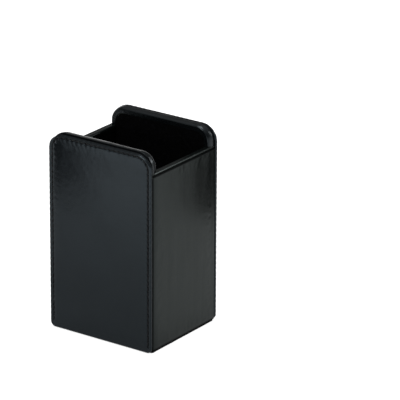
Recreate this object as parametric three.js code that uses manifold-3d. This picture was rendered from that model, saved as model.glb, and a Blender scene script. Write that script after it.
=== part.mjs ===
// Leather-covered pen holder cup: two tall walls with rounded top corners, two lower side walls,
// lined inside.
// Millimetres, +Z up. The origin is at the centre of the underside, and the front wall faces -Y.
import * as THREE from "three";
import { mergeVertices } from "three/addons/utils/BufferGeometryUtils.js";
import Module from "manifold-3d";

const wasm = await Module();
wasm.setup();

// ---- Driving dimensions -------------------------------------------------
const WIDTH = 78; // X, across a tall face panel
const DEPTH = 70; // Y, over both face panels
const TALL_HEIGHT = 130; // top of the face panels
const WALL_HEIGHT = 129.7; // top of the leather on the tall walls, just under the panels
const SIDE_HEIGHT = 117; // top of the folded leather on the low walls
const TOP_CORNER_R = 11; // top corners of a face panel
const FOOT_CORNER_R = 3.5; // bottom corners of a face panel

const FACE_LEATHER_T = 1.2; // skin of a face panel
const STIFFENER_T = 1.2; // card inside a face panel
const WRAP_T = 0.8; // leather over the tall boards' edges
const SIDE_LEATHER_T = 0.8; // leather on the low walls
const LINING_T = 0.8; // lining on every inner face
const TALL_BOARD_T = 4.0;
const SIDE_BOARD_T = 3.6;
const BASE_BOARD_T = 3.0;
const FELT_T = 1.2;

const PANEL_FOOT_Z = 0.4; // bottom edge of a face panel
const BOX_HALF_WIDTH = 38.7; // outer face of the side leather
const TURN_IN = 4.0; // width of the leather turned over onto an inner face
const MARGIN = 12.0; // width of the wrap's margin, hidden under the face panel
const MARGIN_CORNER_R = 4; // top corners of the opening between the margins
const FELT_SETBACK = 0.7; // felt edge behind the side leather
const EDGE_ROUND = 0.7; // rounding of the face panel's edge and of the side lip

const STITCH_INSET = 2.8; // stitch line in from the panel's edge
const STITCH_PITCH = 3.6; // nominal, adjusted to a whole number of stitches
const STITCH_END = 1; // bare length of stitch line at each end
const THREAD_R = 0.3;
const THREAD_OFFSET = 0.02; // small depth offset off the channel floor and the panel's face
const CHANNEL_W = 1.0; // pressed channel the stitches lie in
const CHANNEL_D = 0.6;

const OVERSHOOT = 1; // how far a cutting body runs past what it cuts

// ---- Subdivision --------------------------------------------------------
const PLATE_CURVE_SEGMENTS = 10; // curveSegments of the extruded wall outlines
const PANEL_CORNER_STEPS = 10;
const PANEL_EDGE_STEPS = 3;
const CHANNEL_CORNER_STEPS = 10;
const LIP_SEGMENTS = 16; // round the full circle

// ---- Derived positions --------------------------------------------------
const HALF_W = WIDTH / 2;
const HALF_D = DEPTH / 2;
const PANEL_T = FACE_LEATHER_T + STIFFENER_T;
const WRAP_OUT_Y = HALF_D - PANEL_T; // outer face of the wrap
const BOARD_OUT_Y = WRAP_OUT_Y - WRAP_T;
const BOARD_IN_Y = BOARD_OUT_Y - TALL_BOARD_T;
const CAVITY_Y = BOARD_IN_Y - LINING_T;
const SIDE_BOARD_OUT_X = BOX_HALF_WIDTH - SIDE_LEATHER_T;
const SIDE_BOARD_IN_X = SIDE_BOARD_OUT_X - SIDE_BOARD_T;
const CAVITY_X = SIDE_BOARD_IN_X - LINING_T;
const WRAP_HALF_W = SIDE_BOARD_OUT_X; // the side leather lies over the wrap
const WRAP_CORNER_R = TOP_CORNER_R - (HALF_W - WRAP_HALF_W);
const FLOOR_BOARD_TOP = FELT_T + BASE_BOARD_T;
const FLOOR_TOP = FLOOR_BOARD_TOP + LINING_T;
const SIDE_BOARD_TOP = SIDE_HEIGHT - SIDE_LEATHER_T;
const SIDE_FOLD_BOTTOM = SIDE_HEIGHT - TURN_IN - SIDE_LEATHER_T;

// ---- Materials ----------------------------------------------------------
const FINISHES = {
  faceLeather: { color: 0x2c3235, roughness: 0.38 },
  wrapLeather: { color: 0x282d30, roughness: 0.38 },
  sideLeather: { color: 0x2f3536, roughness: 0.38 },
  lining: { color: 0x0c0c0d, roughness: 0.95 },
  board: { color: 0x9a8a70, roughness: 0.9 },
  card: { color: 0xb4a68c, roughness: 0.9 },
  thread: { color: 0x18191b, roughness: 0.55 },
  felt: { color: 0x0a0a0b, roughness: 1 },
};

// ---- Conversions --------------------------------------------------------
// A three.js geometry as a manifold solid, with only positions and shared vertices.
function solid(geometry) {
  const loose = geometry.index ? geometry.toNonIndexed() : geometry;
  const bare = new THREE.BufferGeometry();
  bare.setAttribute("position", loose.getAttribute("position"));
  const merged = mergeVertices(bare, 1e-4);
  return new wasm.Manifold(
    new wasm.Mesh({
      numProp: 3,
      vertProperties: new Float32Array(merged.attributes.position.array),
      triVerts: new Uint32Array(merged.index.array),
    }),
  );
}

// A manifold solid as a flat-shaded three.js geometry.
function geometryOf(manifold) {
  const mesh = manifold.getMesh();
  const geometry = new THREE.BufferGeometry();
  const positions = new Float32Array(mesh.vertProperties);
  geometry.setAttribute("position", new THREE.BufferAttribute(positions, 3));
  geometry.setIndex(new THREE.BufferAttribute(new Uint32Array(mesh.triVerts), 1));
  const flat = geometry.toNonIndexed();
  flat.computeVertexNormals();
  return flat;
}

// ---- Basic bodies -------------------------------------------------------
// A box between two corners.
function block(x0, x1, y0, y1, z0, z1) {
  return new THREE.BoxGeometry(x1 - x0, y1 - y0, z1 - z0).translate(
    (x0 + x1) / 2,
    (y0 + y1) / 2,
    (z0 + z1) / 2,
  );
}

// The outline of a tall wall in X and Z: straight sides, round top corners, and foot corners
// that are round, or square when footR is left out.
function wallShape(halfWidth, z0, z1, topR, footR = 0) {
  const quarter = Math.PI / 2;
  const shape = new THREE.Shape();
  shape.moveTo(-halfWidth + footR, z0);
  shape.lineTo(halfWidth - footR, z0);
  if (footR > 0) shape.absarc(halfWidth - footR, z0 + footR, footR, -quarter, 0, false);
  shape.lineTo(halfWidth, z1 - topR);
  shape.absarc(halfWidth - topR, z1 - topR, topR, 0, quarter, false);
  shape.lineTo(-halfWidth + topR, z1);
  shape.absarc(-halfWidth + topR, z1 - topR, topR, quarter, Math.PI, false);
  shape.lineTo(-halfWidth, z0 + footR);
  if (footR > 0) {
    shape.absarc(-halfWidth + footR, z0 + footR, footR, Math.PI, 3 * quarter, false);
  }
  return shape;
}

// A wall outline standing in X and Z, from y0 back to y1.
function plate(shape, y0, y1) {
  const geometry = new THREE.ExtrudeGeometry(shape, {
    depth: y1 - y0,
    bevelEnabled: false,
    curveSegments: PLATE_CURVE_SEGMENTS,
  });
  geometry.rotateX(Math.PI / 2); // shape Y becomes Z, and depth runs towards -Y
  geometry.translate(0, y1, 0);
  return geometry;
}

// A closed body skinned over rings of points. capFaces are index triples into a ring.
// reversed turns every face over, for rings that would otherwise give faces pointing in.
function ringBody(rings, capFaces, reversed = false) {
  const positions = [];
  const face = (a, b, c) => {
    if (reversed) positions.push(...a, ...c, ...b);
    else positions.push(...a, ...b, ...c);
  };
  const count = rings[0].length;
  for (let i = 0; i + 1 < rings.length; i++) {
    const ring = rings[i];
    const next = rings[i + 1];
    for (let k = 0; k < count; k++) {
      const j = (k + 1) % count;
      face(ring[k], ring[j], next[j]);
      face(ring[k], next[j], next[k]);
    }
  }
  const first = rings[0];
  const last = rings[rings.length - 1];
  for (const [i, j, k] of capFaces) {
    face(first[i], first[k], first[j]);
    face(last[i], last[j], last[k]);
  }
  const geometry = new THREE.BufferGeometry();
  geometry.setAttribute("position", new THREE.Float32BufferAttribute(positions, 3));
  return geometry;
}

// ---- Stitch line --------------------------------------------------------
// In X and Z: up one side, round the top corners, and down the other.
function stitchPath() {
  const x = HALF_W - STITCH_INSET;
  const zTop = TALL_HEIGHT - STITCH_INSET;
  const r = TOP_CORNER_R - STITCH_INSET;
  const zFoot = PANEL_FOOT_Z + STITCH_INSET;
  const line = (x0, z0, x1, z1) =>
    new THREE.LineCurve(new THREE.Vector2(x0, z0), new THREE.Vector2(x1, z1));
  const path = new THREE.CurvePath();
  path.add(line(-x, zFoot, -x, zTop - r));
  path.add(new THREE.EllipseCurve(-x + r, zTop - r, r, r, Math.PI, Math.PI / 2, true));
  path.add(line(-x + r, zTop, x - r, zTop));
  path.add(new THREE.EllipseCurve(x - r, zTop - r, r, r, Math.PI / 2, 0, true));
  path.add(line(x, zTop - r, x, zFoot));
  return path;
}

// A four-sided section swept along the path, with a ring at each arc length.
// sectionAt(i) lists the section's [across, y] points at ring i.
function sweep(path, lengths, sectionAt) {
  const total = path.getLength();
  const rings = lengths.map((length, i) => {
    const u = Math.min(1, length / total);
    const point = path.getPointAt(u);
    const tangent = path.getTangentAt(u);
    return sectionAt(i).map(([across, y]) => [
      point.x - tangent.y * across,
      y,
      point.y + tangent.x * across,
    ]);
  });
  return ringBody(rings, [[0, 1, 2], [0, 2, 3]]);
}

// Pressed channel for the stitches, as a cutting body.
function channelCutter() {
  const path = stitchPath();
  const lengths = [0];
  let start = 0;
  for (const curve of path.curves) {
    const length = curve.getLength();
    const steps = curve.isEllipseCurve ? CHANNEL_CORNER_STEPS : 1;
    for (let i = 1; i <= steps; i++) lengths.push(start + (length * i) / steps);
    start += length;
  }
  const half = CHANNEL_W / 2;
  const openY = -HALF_D - OVERSHOOT;
  const floorY = -HALF_D + CHANNEL_D;
  const section = [[-half, openY], [-half, floorY], [half, floorY], [half, openY]];
  return solid(sweep(path, lengths, () => section));
}

// One line of stitches that dips into the leather at each hole and rises to the panel's face
// between holes.
function threadSolid() {
  const path = stitchPath();
  const sewn = path.getLength() - 2 * STITCH_END;
  const stitches = Math.round(sewn / STITCH_PITCH);
  const pitch = sewn / stitches;
  const lengths = [];
  for (let i = 0; i <= 2 * stitches; i++) lengths.push(STITCH_END + (i * pitch) / 2);
  const holeY = -HALF_D + CHANNEL_D - THREAD_R - THREAD_OFFSET;
  const proudY = -HALF_D + THREAD_OFFSET;
  return solid(
    sweep(path, lengths, (i) => {
      const y = i % 2 ? proudY : holeY;
      return [[-THREAD_R, y], [0, y + THREAD_R], [THREAD_R, y], [0, y - THREAD_R]];
    }),
  );
}

// ---- Tall wall, built at the front --------------------------------------
// Outline of the card, a leather's thickness inside the face panel.
function stiffenerShape() {
  return wallShape(
    HALF_W - FACE_LEATHER_T,
    PANEL_FOOT_Z + FACE_LEATHER_T,
    TALL_HEIGHT - FACE_LEATHER_T,
    TOP_CORNER_R - FACE_LEATHER_T,
    FOOT_CORNER_R - FACE_LEATHER_T,
  );
}

// The outline of the tall board, inside the wrap.
function tallBoardShape(z0) {
  return wallShape(WRAP_HALF_W - WRAP_T, z0, WALL_HEIGHT - WRAP_T, WRAP_CORNER_R - WRAP_T);
}

// The lining of a tall wall, inside the turned-in border.
function liningShape(z0) {
  return wallShape(WRAP_HALF_W - TURN_IN, z0, WALL_HEIGHT - TURN_IN, TOP_CORNER_R - TURN_IN);
}

// The face panel's outline at depth y, drawn in by inset.
function panelRing(inset, y) {
  const topX = HALF_W - TOP_CORNER_R;
  const topZ = TALL_HEIGHT - TOP_CORNER_R;
  const footX = HALF_W - FOOT_CORNER_R;
  const footZ = PANEL_FOOT_Z + FOOT_CORNER_R;
  // Corner centre X, centre Z and radius, anticlockwise seen from the front.
  const corners = [
    [footX, footZ, FOOT_CORNER_R],
    [topX, topZ, TOP_CORNER_R],
    [-topX, topZ, TOP_CORNER_R],
    [-footX, footZ, FOOT_CORNER_R],
  ];
  const ring = [];
  corners.forEach(([centreX, centreZ, cornerR], corner) => {
    const r = cornerR - inset;
    const startAngle = (corner - 1) * (Math.PI / 2);
    for (let i = 0; i <= PANEL_CORNER_STEPS; i++) {
      const angle = startAngle + ((Math.PI / 2) * i) / PANEL_CORNER_STEPS;
      ring.push([centreX + r * Math.cos(angle), y, centreZ + r * Math.sin(angle)]);
    }
  });
  return ring;
}

// The panel's full body, with a rounded front edge.
function panelBody() {
  const rings = [];
  for (let i = 0; i <= PANEL_EDGE_STEPS; i++) {
    const angle = (Math.PI / 2) * (i / PANEL_EDGE_STEPS);
    const inset = EDGE_ROUND * (1 - Math.sin(angle));
    rings.push(panelRing(inset, -HALF_D + EDGE_ROUND * (1 - Math.cos(angle))));
  }
  rings.push(panelRing(0, -WRAP_OUT_Y));
  const outline = rings[0].map(([x, , z]) => new THREE.Vector2(x, z));
  return solid(ringBody(rings, THREE.ShapeUtils.triangulateShape(outline, []), true));
}

function faceLeather() {
  const cardPocket = plate(
    stiffenerShape(),
    -HALF_D + FACE_LEATHER_T,
    -WRAP_OUT_Y + OVERSHOOT,
  );
  return panelBody().subtract(solid(cardPocket)).subtract(channelCutter());
}

// Leather round the tall board's edges, with a margin outside and a turned-in border inside.
function edgeWrap() {
  const outerY = -WRAP_OUT_Y;
  const innerY = -CAVITY_Y + OVERSHOOT;
  const cutFootZ = FELT_T - OVERSHOOT;
  const body = plate(
    wallShape(WRAP_HALF_W, FELT_T, WALL_HEIGHT, WRAP_CORNER_R),
    outerY,
    -CAVITY_Y,
  );
  const boardHollow = plate(tallBoardShape(cutFootZ), outerY + WRAP_T, -BOARD_IN_Y);
  // Open between the margins on the outer face.
  const outerOpening = plate(
    wallShape(WRAP_HALF_W - MARGIN, cutFootZ, WALL_HEIGHT - MARGIN, MARGIN_CORNER_R),
    outerY - OVERSHOOT,
    outerY + WRAP_T + OVERSHOOT,
  );
  // On the inner face, only the turned-in border above the low walls stays.
  const innerOpening = plate(liningShape(cutFootZ), -BOARD_IN_Y - OVERSHOOT, innerY);
  const cutX = WRAP_HALF_W + OVERSHOOT;
  const belowLowWalls = block(-cutX, cutX, -BOARD_IN_Y, innerY, cutFootZ, SIDE_HEIGHT);
  return [boardHollow, outerOpening, innerOpening, belowLowWalls].reduce(
    (wrap, cutter) => wrap.subtract(solid(cutter)),
    solid(body),
  );
}

// ---- Low side wall, built at the right ----------------------------------
// The waste outside the rounding of the lip's long outer edge.
function lipWaste() {
  const x = BOX_HALF_WIDTH - EDGE_ROUND;
  const z = SIDE_HEIGHT - EDGE_ROUND;
  const cutY = WRAP_OUT_Y + OVERSHOOT;
  const roundLength = 2 * (cutY + OVERSHOOT);
  const corner = block(x, BOX_HALF_WIDTH + OVERSHOOT, -cutY, cutY, z, SIDE_HEIGHT + OVERSHOOT);
  const round = new THREE.CylinderGeometry(EDGE_ROUND, EDGE_ROUND, roundLength, LIP_SEGMENTS);
  return solid(corner).subtract(solid(round.translate(x, 0, z)));
}

function sideLeather() {
  const outX = BOX_HALF_WIDTH;
  const skin = block(SIDE_BOARD_OUT_X, outX, -WRAP_OUT_Y, WRAP_OUT_Y, FELT_T, SIDE_HEIGHT);
  // Fold over the top and down the inner face, between the tall walls.
  const fold = block(CAVITY_X, outX, -CAVITY_Y, CAVITY_Y, SIDE_FOLD_BOTTOM, SIDE_HEIGHT);
  const cutY = CAVITY_Y + OVERSHOOT;
  const boardSlot = block(SIDE_BOARD_IN_X, SIDE_BOARD_OUT_X, -cutY, cutY, 0, SIDE_BOARD_TOP);
  // Cover over the full length of the board's top, out to the tall boards.
  const cover = block(
    SIDE_BOARD_IN_X,
    outX,
    -BOARD_IN_Y,
    BOARD_IN_Y,
    SIDE_BOARD_TOP,
    SIDE_HEIGHT,
  );
  return solid(skin)
    .add(solid(fold).subtract(solid(boardSlot)))
    .add(solid(cover))
    .subtract(lipWaste());
}

// A layer under the cavity, between the side boards and between the tall boards.
function floorLayer(z0, z1) {
  return block(-SIDE_BOARD_IN_X, SIDE_BOARD_IN_X, -BOARD_IN_Y, BOARD_IN_Y, z0, z1);
}

// ---- Assembly -----------------------------------------------------------
const cup = new THREE.Group();

function add(name, geometry, finish, group = cup) {
  const material = new THREE.MeshStandardMaterial({ ...finish, metalness: 0 });
  const mesh = new THREE.Mesh(geometry, material);
  mesh.name = name;
  group.add(mesh);
}

// Two opposite walls from one set of pieces: as built, and turned half a turn about Z.
function addWallPair(sides, pieces) {
  sides.forEach((side, i) => {
    const wall = new THREE.Group();
    wall.rotation.z = i * Math.PI;
    cup.add(wall);
    for (const [name, geometry, finish] of pieces) {
      add(`${side}_${name}`, geometry, finish, wall);
    }
  });
}

const stiffener = plate(stiffenerShape(), -HALF_D + FACE_LEATHER_T, -WRAP_OUT_Y);
const tallBoard = plate(tallBoardShape(FELT_T), -BOARD_OUT_Y, -BOARD_IN_Y);
const tallLining = plate(liningShape(FLOOR_TOP), -BOARD_IN_Y, -CAVITY_Y);
addWallPair(["front", "back"], [
  ["face_leather", geometryOf(faceLeather()), FINISHES.faceLeather],
  ["face_stiffener", stiffener, FINISHES.card],
  ["stitching", geometryOf(threadSolid()), FINISHES.thread],
  ["edge_wrap", geometryOf(edgeWrap()), FINISHES.wrapLeather],
  ["core_board", tallBoard, FINISHES.board],
  ["lining", tallLining, FINISHES.lining],
]);

const sideBoard = block(
  SIDE_BOARD_IN_X,
  SIDE_BOARD_OUT_X,
  -BOARD_IN_Y,
  BOARD_IN_Y,
  FELT_T,
  SIDE_BOARD_TOP,
);
const sideLining = block(
  CAVITY_X,
  SIDE_BOARD_IN_X,
  -CAVITY_Y,
  CAVITY_Y,
  FLOOR_TOP,
  SIDE_FOLD_BOTTOM,
);
addWallPair(["right", "left"], [
  ["leather_panel", geometryOf(sideLeather()), FINISHES.sideLeather],
  ["core_board", sideBoard, FINISHES.board],
  ["lining", sideLining, FINISHES.lining],
]);

add("base_board", floorLayer(FELT_T, FLOOR_BOARD_TOP), FINISHES.board);
add("floor_lining", floorLayer(FLOOR_BOARD_TOP, FLOOR_TOP), FINISHES.lining);
const feltX = BOX_HALF_WIDTH - FELT_SETBACK;
add("base_felt", block(-feltX, feltX, -WRAP_OUT_Y, WRAP_OUT_Y, 0, FELT_T), FINISHES.felt);

export default cup;
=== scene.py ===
import math
from types import SimpleNamespace

import bpy
import numpy as np
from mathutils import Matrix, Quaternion, Vector


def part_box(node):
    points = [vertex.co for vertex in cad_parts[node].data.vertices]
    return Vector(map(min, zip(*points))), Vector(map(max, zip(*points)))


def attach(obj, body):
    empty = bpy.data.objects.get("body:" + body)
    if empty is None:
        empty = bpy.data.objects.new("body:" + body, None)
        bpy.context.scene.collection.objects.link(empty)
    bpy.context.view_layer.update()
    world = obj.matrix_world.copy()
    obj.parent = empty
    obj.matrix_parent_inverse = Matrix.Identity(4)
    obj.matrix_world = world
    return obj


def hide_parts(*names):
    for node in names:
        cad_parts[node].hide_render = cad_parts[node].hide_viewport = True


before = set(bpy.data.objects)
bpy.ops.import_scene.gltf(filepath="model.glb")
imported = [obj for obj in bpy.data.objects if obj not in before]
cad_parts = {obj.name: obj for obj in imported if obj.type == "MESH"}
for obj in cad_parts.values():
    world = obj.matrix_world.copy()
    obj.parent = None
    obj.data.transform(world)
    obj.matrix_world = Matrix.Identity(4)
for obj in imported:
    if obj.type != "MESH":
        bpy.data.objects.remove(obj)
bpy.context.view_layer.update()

# Meshes are worked out in millimetres and turned into metres when they are made.
MM = 0.001
PITCH = 3.6                    # from one stitch hole to the next
STITCH_INSET = 2.6             # the stitch line lies this far inside the panel's edge
TOP_R, FOOT_R = 11.0, 3.5      # corner radii of the face panels
PANEL_HALF_WIDTH = 39.0
THREAD_R = 0.37
SIDE_LEATHER = 0.8             # thickness of the leather over the side walls
WRAP_LEATHER = 0.78            # thickness of the leather over the tall walls' edges

X, Y, Z = np.eye(3)


def half_turn(points):
    return points * np.array([-1.0, -1.0, 1.0])


def box(node, turned=False):
    """The low and high corners of a CAD piece, optionally after a half turn about Z."""
    corners = np.array([*map(np.array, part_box(node))]) * 1000.0
    return np.sort(half_turn(corners), axis=0) if turned else corners


def stand(points, turned):
    """Points (across, up, out from the middle) of a tall wall, placed in the frame."""
    placed = points @ np.array([X, Z, -Y])
    return half_turn(placed) if turned else placed


# ---------------------------------------------------------------- smooth seeded noise

def hashed(i, j, seed):
    h = i.astype(np.int64) * 374761393 + j.astype(np.int64) * 668265263 + seed * 974634777
    h = h & 0xFFFFFFFF
    h = ((h ^ (h >> 13)) * 1274126177) & 0xFFFFFFFF
    h = h ^ (h >> 16)
    return (h & 0xFFFF) / 32767.5 - 1.0


def noise(u, v, cell, seed):
    """Smooth noise from -1 to 1 with features about cell millimetres wide."""
    a = np.asarray(u, float) / cell + 311.7
    b = np.asarray(v, float) / cell + 127.1
    i, j = np.floor(a), np.floor(b)
    s, t = a - i, b - j
    s = s * s * s * (s * (s * 6 - 15) + 10)
    t = t * t * t * (t * (t * 6 - 15) + 10)
    low = hashed(i, j, seed) * (1 - s) + hashed(i + 1, j, seed) * s
    high = hashed(i, j + 1, seed) * (1 - s) + hashed(i + 1, j + 1, seed) * s
    return low * (1 - t) + high * t


def smooth(start, end, x):
    """A soft step, 0 at start and 1 at end."""
    t = np.clip((np.asarray(x, float) - start) / (end - start), 0, 1)
    return t * t * (3 - 2 * t)


def bell(x, width):
    return np.exp(-((np.asarray(x, float) / width) ** 2))


# ---------------------------------------------------------------- lines and meshes

def travelled(points):
    """The distance walked along a line of points, at each point."""
    return np.concatenate([[0], np.cumsum(np.hypot(*np.diff(points, axis=0).T))])


def resample(points, count):
    points = np.asarray(points, float)
    travel = travelled(points)
    at = np.linspace(0, travel[-1], count)
    return np.c_[np.interp(at, travel, points[:, 0]), np.interp(at, travel, points[:, 1])]


def arc_points(cx, cy, rx, ry, first, last, count):
    """Points on an elliptic arc from angle first to angle last, both included."""
    a = np.radians(np.linspace(first, last, count))
    return np.c_[cx + rx * np.cos(a), cy + ry * np.sin(a)]


def roll(radius, centre, half, degrees):
    """(inset, height) pairs round a rolled rim; 180 is its back, 0 its front."""
    return [(radius - radius * math.sin(math.radians(a)), centre + half * math.cos(math.radians(a)))
            for a in degrees]


def ring_faces(rings):
    """Quads between neighbouring closed rings of vertex numbers."""
    rings = np.asarray(rings)
    a, b = rings[:-1], rings[1:]
    a_next, b_next = np.roll(a, -1, 1), np.roll(b, -1, 1)
    return np.stack([a, b, b_next, a_next], -1).reshape(-1, 4)


def grid_faces(grid):
    quads = [grid[:-1, :-1], grid[:-1, 1:], grid[1:, 1:], grid[1:, :-1]]
    return np.stack(quads, -1).reshape(-1, 4)


def perimeter(grid):
    """The border values of a grid, clockwise from its lower left corner."""
    return np.concatenate([grid[:-1, 0], grid[-1, :-1], grid[:0:-1, -1], grid[0, :0:-1]])


def piece(name, points, faces, material, slot, node, **shades):
    """Make an object, hide the CAD node it replaces, and store its shade values."""
    mesh = bpy.data.meshes.new(name)
    faces = [list(map(int, face)) for face in faces]
    mesh.from_pydata((np.asarray(points) * MM).tolist(), [], faces)
    mesh.validate()
    for key, values in shades.items():
        layer = mesh.attributes.new(key, "FLOAT", "POINT")
        layer.data.foreach_set("value", np.clip(values, 0, 1).astype(np.float32))
    mesh.polygons.foreach_set("use_smooth", np.ones(len(mesh.polygons), bool))
    mesh.update()
    obj = bpy.data.objects.new(name, mesh)
    bpy.context.scene.collection.objects.link(obj)
    obj.data.materials.append(material)
    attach(obj, "root")
    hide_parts(node)


class Outline:
    """A rectangle with rounded top and foot corners, walked clockwise from the middle of its
    lower left corner."""

    def __init__(self, u0, u1, v0, v1, r_top, r_foot, step):
        self.box, self.r_top, self.r_foot = (u0, u1, v0, v1), r_top, r_foot
        # points in half a top corner, half a foot corner, the top edge and a side
        nt = max(2, round(math.pi / 4 * r_top / step))
        nf = max(2, round(math.pi / 4 * r_foot / step))
        top = max(2, round((u1 - u0 - 2 * r_top) / step))
        side = max(2, round((v1 - v0 - r_top - r_foot) / step))
        self.nx, self.nz = top + 2 * nt, side + nt + nf
        foot = self.nx - 2 * nf
        self.counts = nf, side, nt, top, foot
        # first and last outward direction in degrees, and the number of points
        sweeps = [(225, 180, nf), (180, 180, side), (180, 135, nt), (135, 90, nt),
                  (90, 90, top), (90, 45, nt), (45, 0, nt), (0, 0, side),
                  (0, -45, nf), (-45, -90, nf), (-90, -90, foot), (-90, -135, nf)]
        self.turn = np.radians(np.concatenate(
            [first + (last - first) * np.arange(n) / n for first, last, n in sweeps]))
        self.n = len(self.turn)

    def ring(self, inset):
        """The outline drawn in by inset; every ring has the same number of points."""
        u0, u1, v0, v1 = self.box
        u0, u1, v0, v1 = u0 + inset, u1 - inset, v0 + inset, v1 - inset
        rt = max(self.r_top - inset, 0.55 * self.r_top)
        rf = max(self.r_foot - inset, 0.45 * self.r_foot)
        nf, side, nt, top, foot = self.counts
        foot_left, foot_right = (u0 + rf, v0 + rf), (u1 - rf, v0 + rf)
        top_left, top_right = (u0 + rt, v1 - rt), (u1 - rt, v1 - rt)

        def arc(centre, r, first, last, n):
            a = np.radians(first + (last - first) * np.arange(n) / n)
            return np.c_[centre[0] + r * np.cos(a), centre[1] + r * np.sin(a)]

        def line(start, end, n):
            t = (np.arange(n) / n)[:, None]
            return np.array(start) * (1 - t) + np.array(end) * t

        return np.concatenate([
            arc(foot_left, rf, 225, 180, nf),
            line((u0, v0 + rf), (u0, v1 - rt), side),
            arc(top_left, rt, 180, 135, nt),
            arc(top_left, rt, 135, 90, nt),
            line((u0 + rt, v1), (u1 - rt, v1), top),
            arc(top_right, rt, 90, 45, nt),
            arc(top_right, rt, 45, 0, nt),
            line((u1, v1 - rt), (u1, v0 + rf), side),
            arc(foot_right, rf, 0, -45, nf),
            arc(foot_right, rf, -45, -90, nf),
            line((u1 - rf, v0), (u0 + rf, v0), foot),
            arc(foot_left, rf, -90, -135, nf)])

    def depth(self, u, v):
        """How far a point lies inside the outline."""
        u0, u1, v0, v1 = self.box
        rt = self.r_top
        straight = np.minimum(np.minimum(u - u0, u1 - u), np.minimum(v - v0, v1 - v))
        centre_u = np.where(u < (u0 + u1) / 2, u0 + rt, u1 - rt)
        in_corner = (v > v1 - rt) & ((u < u0 + rt) | (u > u1 - rt))
        return np.where(in_corner, rt - np.hypot(u - centre_u, v - (v1 - rt)), straight)


def panel(outline, edge, insets, core_inset, bands):
    """A plate: edge lists (inset, height) rings from the back to the front rim, insets the
    exact rings of the front face; the rest is a regular grid inside core_inset, joined on by
    bands rings. Returns the points (u, v, height), the faces, each point's depth and column
    (-1 in the grid), and the number of edge points, whose heights are final."""
    points, depths, columns = [], [], []

    def add(uv, height, depth, column):
        start = sum(map(len, points))
        points.append(np.c_[uv, np.full(len(uv), float(height))])
        depths.append(np.broadcast_to(np.asarray(depth, float), len(uv)))
        columns.append(np.broadcast_to(column, len(uv)))
        return np.arange(start, start + len(uv))

    every = np.arange(outline.n)
    rings = [add(outline.ring(inset), height, inset, every) for inset, height in edge]
    rings += [add(outline.ring(inset), 0, inset, every) for inset in insets]
    u0, u1, v0, v1 = outline.box
    core_u, core_v = np.meshgrid(np.linspace(u0 + core_inset, u1 - core_inset, outline.nx + 1),
                                 np.linspace(v0 + core_inset, v1 - core_inset, outline.nz + 1))
    core_rim = np.c_[perimeter(core_u), perimeter(core_v)]
    last = outline.ring(insets[-1])
    for k in range(1, bands):
        t = k / bands
        uv = last * (1 - t) + core_rim * t
        rings.append(add(uv, 0, outline.depth(uv[:, 0], uv[:, 1]), every))
    core = np.c_[core_u.ravel(), core_v.ravel()]
    grid = add(core, 0, outline.depth(core[:, 0], core[:, 1]), -1).reshape(core_u.shape)
    rings.append(perimeter(grid))
    faces = [rings[0], *ring_faces(rings), *grid_faces(grid)]
    fixed = len(edge) * outline.n
    return (np.concatenate(points), faces, np.concatenate(depths), np.concatenate(columns),
            fixed)


# ---------------------------------------------------------------- leather by cloth simulation

CLOTH = dict(
    quality=6, mass=0.25,
    tension_stiffness=40, compression_stiffness=40, shear_stiffness=20, bending_stiffness=6,
    tension_damping=12, compression_damping=12, shear_damping=8, bending_damping=2,
    air_damping=3, vertex_group_mass="sewn",
    shrink_min=-0.0022,          # the sheet is cut slightly large
    use_pressure=True, uniform_pressure_force=1.2)
CLOTH_SCALE = 0.01               # simulated metres for a millimetre
CLOTH_LAST_FRAME = 22


def simulate(gx, gy, rough, pinned):
    """The heights of a flat sheet blown out between its pinned points."""
    ny, nx = gx.shape[0] - 1, gx.shape[1] - 1
    mesh = bpy.data.meshes.new("sheet")
    index = np.arange(gx.size).reshape(gx.shape)
    points = np.c_[gx.ravel(), gy.ravel(), rough.ravel()] * CLOTH_SCALE
    mesh.from_pydata(points.tolist(), [], grid_faces(index).tolist())
    sheet = bpy.data.objects.new("sheet", mesh)
    bpy.context.scene.collection.objects.link(sheet)
    group = sheet.vertex_groups.new(name="sewn")
    for j in range(ny + 1):
        for i in range(nx + 1):
            if pinned(i, j, nx, ny):
                group.add([int(index[j, i])], 1.0, "REPLACE")
    cloth = sheet.modifiers.new("cloth", "CLOTH")
    for key, value in CLOTH.items():
        setattr(cloth.settings, key, value)
    cloth.settings.effector_weights.gravity = 0
    cloth.collision_settings.use_self_collision = False
    cloth.point_cache.frame_start = 1
    cloth.point_cache.frame_end = 24
    scene = bpy.context.scene
    for number in range(1, CLOTH_LAST_FRAME + 1):
        scene.frame_set(number)
    found = sheet.evaluated_get(bpy.context.evaluated_depsgraph_get())
    co = np.zeros(gx.size * 3, np.float32)
    found.data.vertices.foreach_get("co", co)
    lift = co.reshape(-1, 3)[:, 2].reshape(gx.shape) / CLOTH_SCALE
    bpy.data.objects.remove(sheet)
    bpy.data.meshes.remove(mesh)
    scene.frame_set(1)
    return lift


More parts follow.
